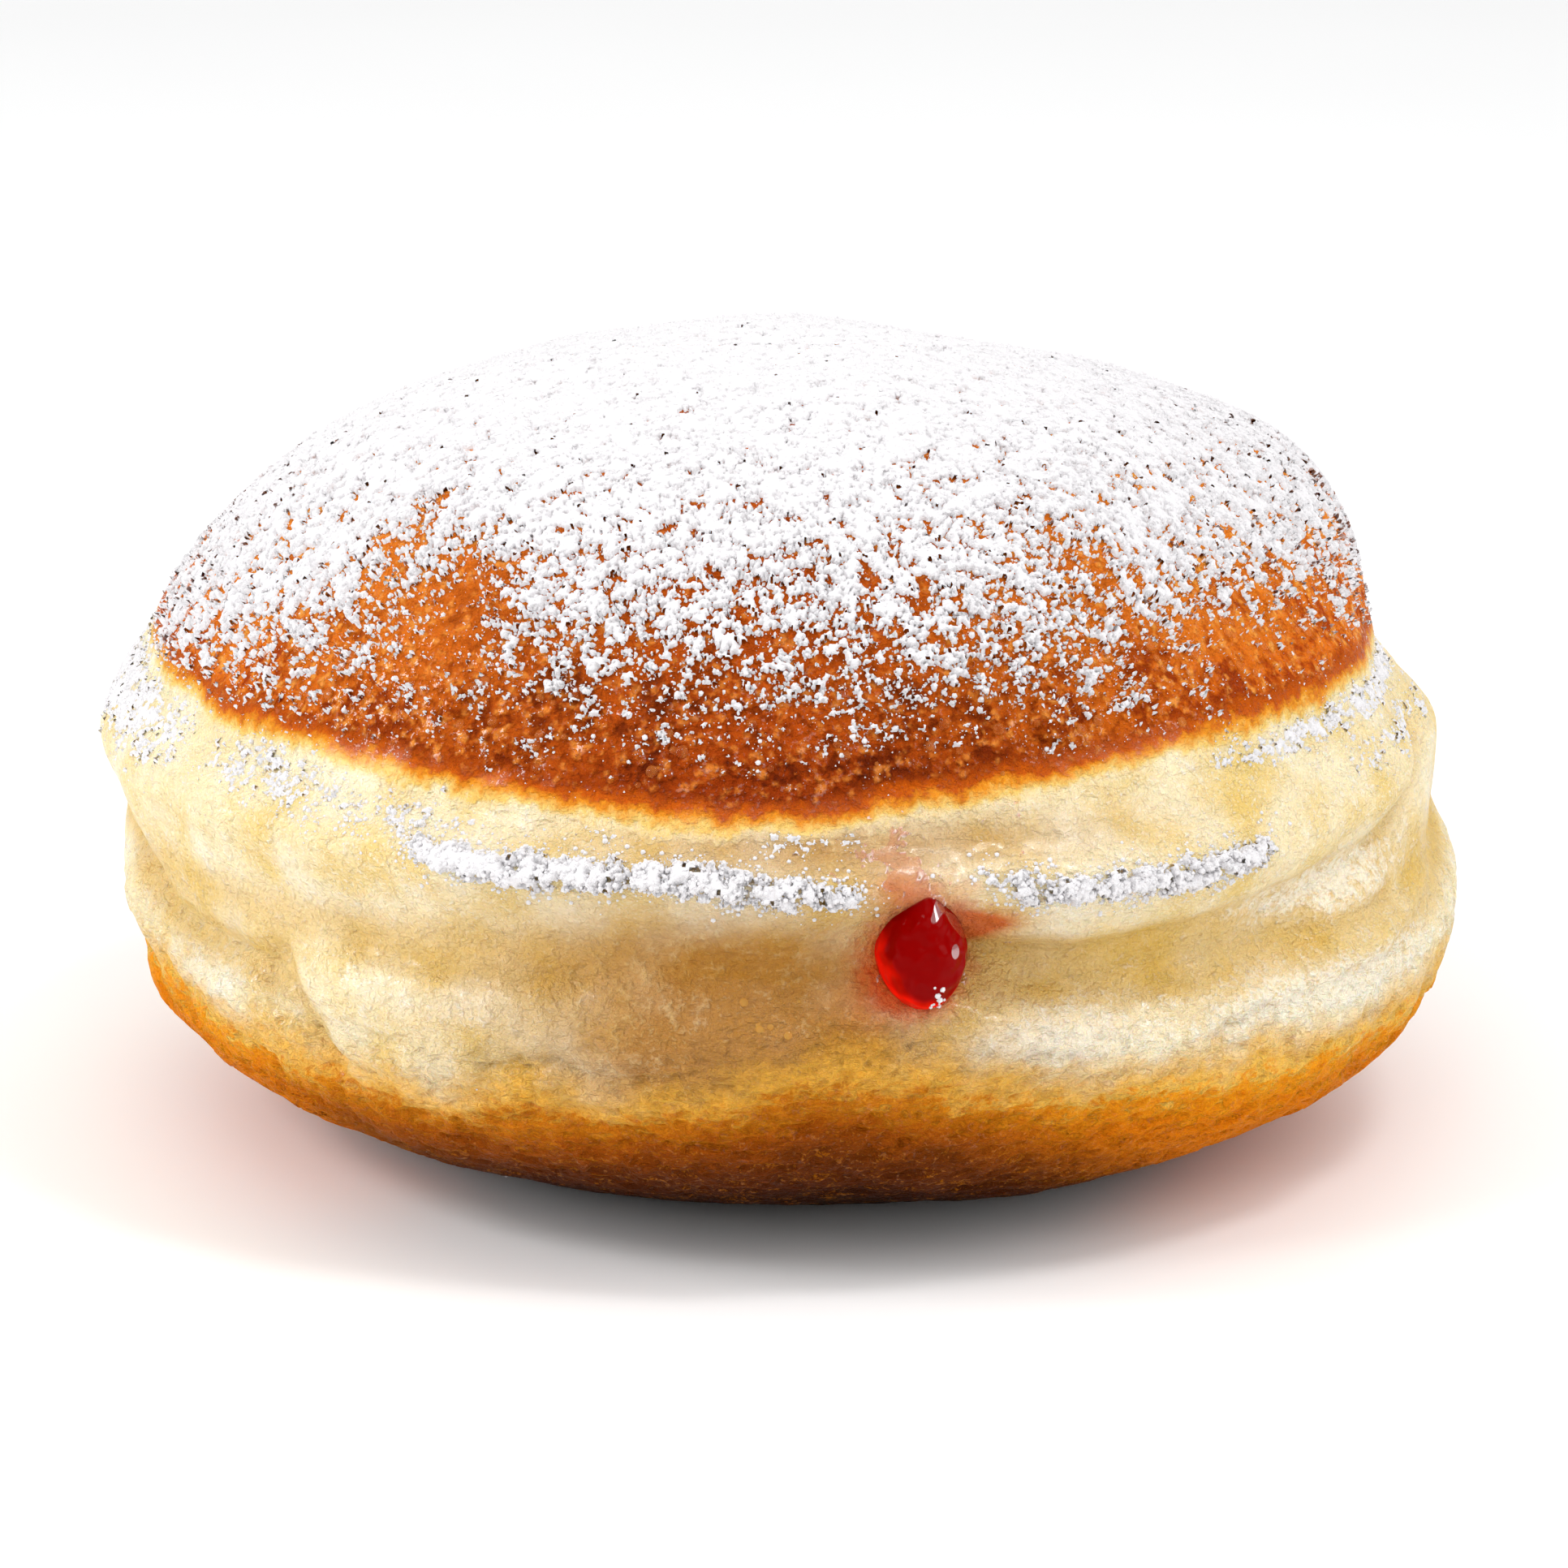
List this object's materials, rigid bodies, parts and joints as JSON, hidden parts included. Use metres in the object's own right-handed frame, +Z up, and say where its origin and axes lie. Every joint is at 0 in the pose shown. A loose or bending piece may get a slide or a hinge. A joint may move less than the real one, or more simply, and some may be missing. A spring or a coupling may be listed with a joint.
{
  "type": "jelly filled doughnut",
  "caption": "Round jelly-filled doughnut with a brown crown, a pale creased band, a jelly bead in the side hole and a dusting of powdered sugar.",
  "frame": {"origin": "on the surface it rests on, under the middle of the doughnut's outline", "axes": "+Z up through the crown, -Y towards the side with the jelly hole, +X to the right of it"},
  "size_m": [0.0898, 0.0886, 0.052],
  "materials": {
    "dough": "fried crust, golden brown above and below a pale cream band, lightly oily",
    "jelly": "wet, clear deep red",
    "sugar": "powdery white"
  },
  "bodies": {
    "root": {"dough": "dough", "jelly": "jelly"}
  },
  "joints": []
}
